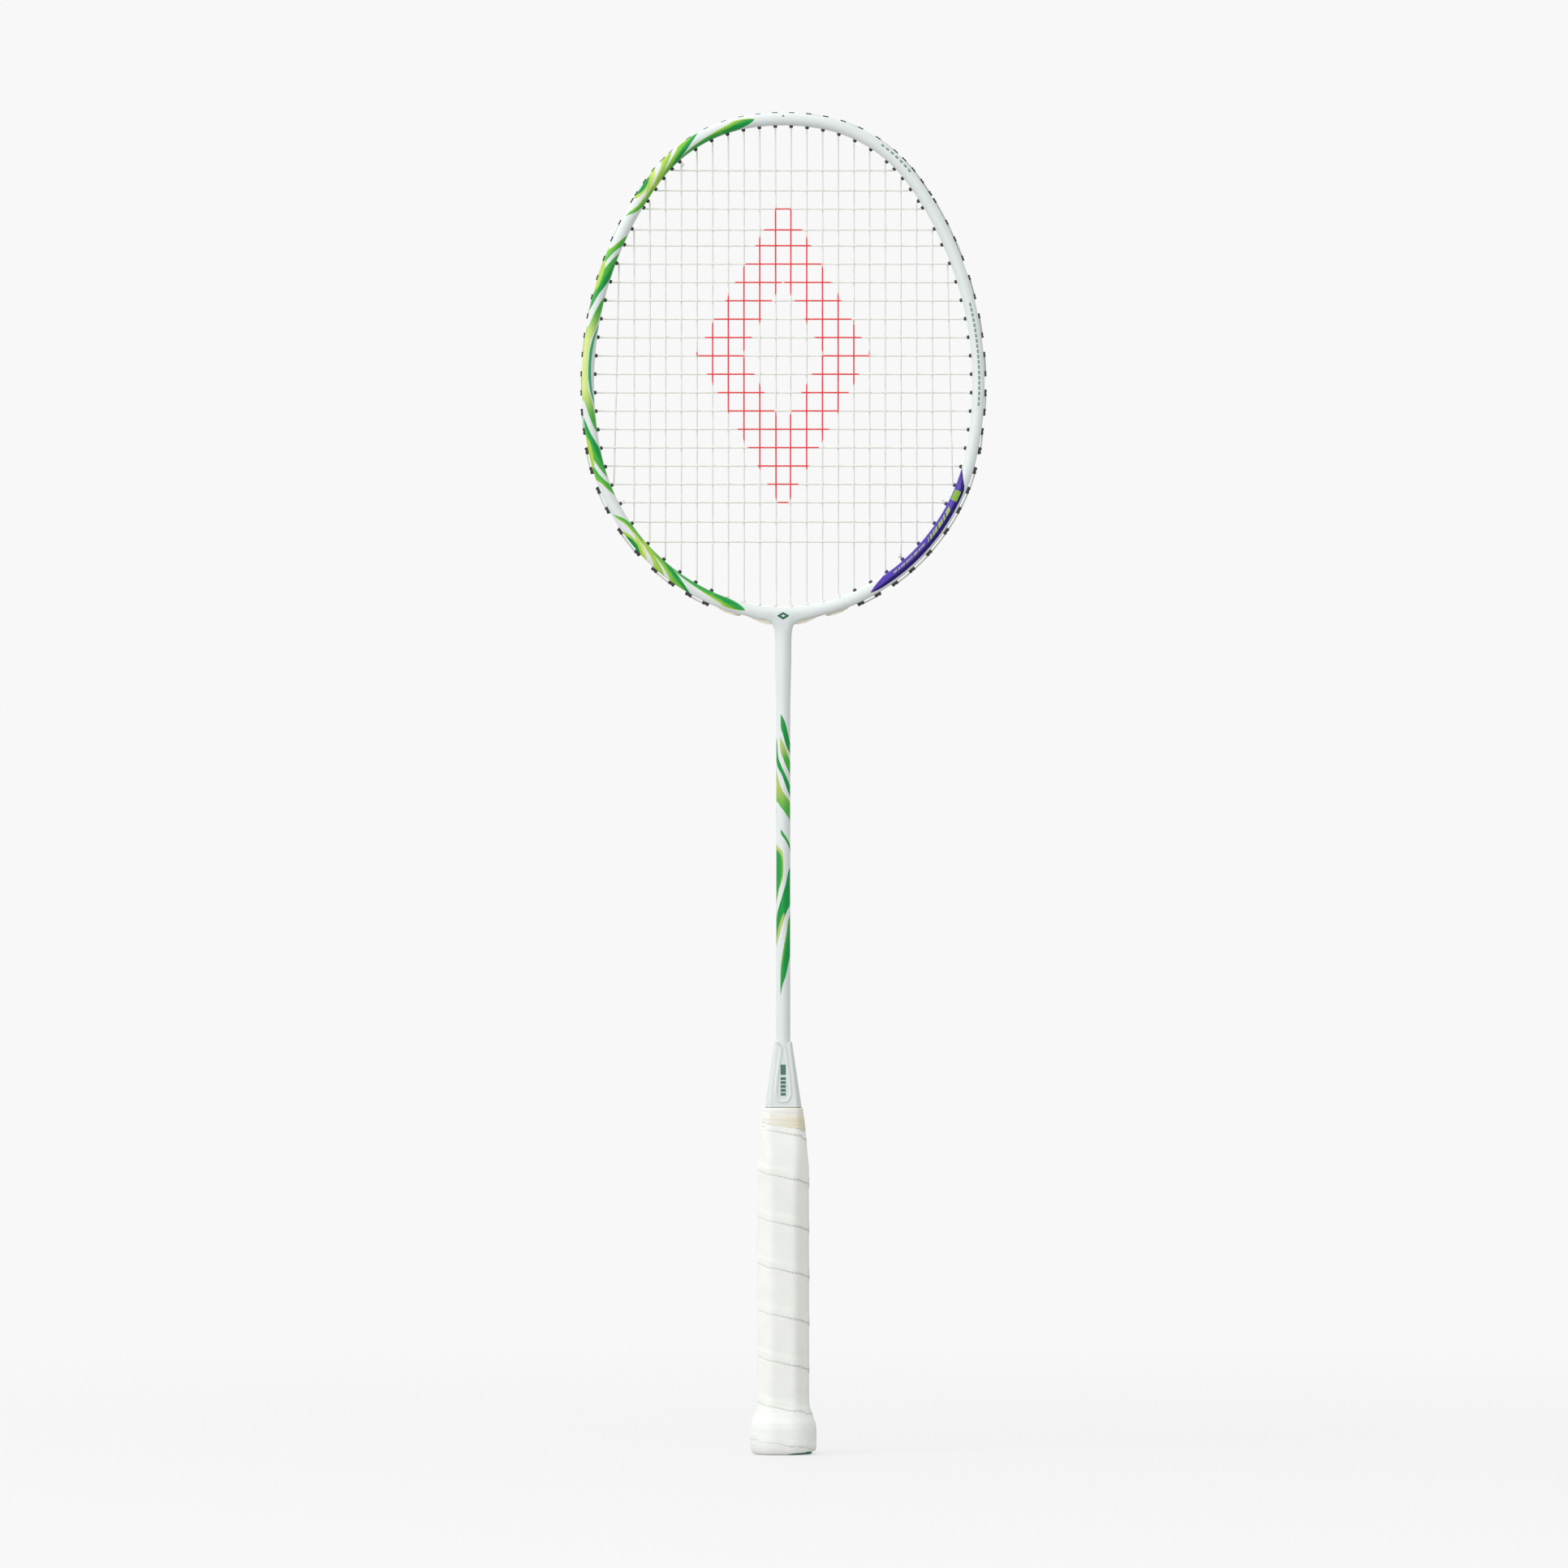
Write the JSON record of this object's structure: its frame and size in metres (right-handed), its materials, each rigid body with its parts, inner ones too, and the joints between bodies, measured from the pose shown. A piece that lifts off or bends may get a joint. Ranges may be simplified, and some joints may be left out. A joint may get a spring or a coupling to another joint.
{
  "type": "badminton racket",
  "caption": "White isometric badminton racket, strung in white, with green painted strokes, a purple shoulder panel, black grommets and a white wrapped grip.",
  "frame": {"origin": "centre of the flat butt face of the end cap", "axes": "+Z from the butt along the shaft towards the head, +X across the head, +Y through the strings; the front of the racket faces -Y"},
  "size_m": [0.2058, 0.0304, 0.677],
  "materials": {
    "frame_paint": "gloss white lacquer with green, yellow-green and purple painted strokes, over carbon fibre",
    "shaft_paint": "gloss white lacquer with green strokes, over carbon fibre",
    "connector_alloy": "plain cast alloy, hidden inside the frame",
    "cone_plastic": "gloss white",
    "core_wood": "sanded bare wood",
    "cap_plastic": "semi-gloss dark green",
    "grip_wrap": "soft matt white polyurethane with fine pores",
    "tape": "cream tape, satin",
    "staple_steel": "bright wire",
    "string": "white coated multifilament nylon, satin",
    "black_nylon": "black moulded nylon",
    "clear_nylon": "cream translucent moulded nylon"
  },
  "bodies": {
    "root": {"clear_grommet_strip_left": "clear_nylon", "clear_grommet_strip_right": "clear_nylon", "cone_cap": "cone_plastic", "cross_string": "string", "end_cap": "cap_plastic", "finishing_tape": "tape", "grip_staple": "staple_steel", "grip_wrap": "grip_wrap", "grommet_left_05": "black_nylon", "grommet_left_06": "black_nylon", "grommet_left_07": "black_nylon", "grommet_left_08": "black_nylon", "grommet_left_09": "black_nylon", "grommet_left_10": "black_nylon", "grommet_left_11": "black_nylon", "grommet_left_12": "black_nylon", "grommet_left_13": "black_nylon", "grommet_left_14": "black_nylon", "grommet_left_15": "black_nylon", "grommet_left_16": "black_nylon", "grommet_left_31": "black_nylon", "grommet_pair_left_17_18": "black_nylon", "grommet_pair_left_19_20": "black_nylon", "grommet_pair_left_21_22": "black_nylon", "grommet_pair_left_23_24": "black_nylon", "grommet_pair_left_25_26": "black_nylon", "grommet_pair_left_27_28": "black_nylon", "grommet_pair_left_29_30": "black_nylon", "grommet_pair_left_32_33": "black_nylon", "grommet_pair_left_34_35": "black_nylon", "grommet_pair_left_36_37": "black_nylon", "grommet_pair_right_18_19": "black_nylon", "grommet_pair_right_20_21": "black_nylon", "grommet_pair_right_22_23": "black_nylon", "grommet_pair_right_24_25": "black_nylon", "grommet_pair_right_26_27": "black_nylon", "grommet_pair_right_28_29": "black_nylon", "grommet_pair_right_30_31": "black_nylon", "grommet_pair_right_32_33": "black_nylon", "grommet_pair_right_34_35": "black_nylon", "grommet_pair_right_36_37": "black_nylon", "grommet_pair_top_centre": "black_nylon", "grommet_right_05": "black_nylon", "grommet_right_06": "black_nylon", "grommet_right_07": "black_nylon", "grommet_right_08": "black_nylon", "grommet_right_09": "black_nylon", "grommet_right_10": "black_nylon", "grommet_right_11": "black_nylon", "grommet_right_12": "black_nylon", "grommet_right_13": "black_nylon", "grommet_right_14": "black_nylon", "grommet_right_15": "black_nylon", "grommet_right_16": "black_nylon", "grommet_right_17": "black_nylon", "handle_core": "core_wood", "head_frame": "frame_paint", "main_string": "string", "shaft": "shaft_paint", "t_joint": "connector_alloy"}
  },
  "joints": []
}
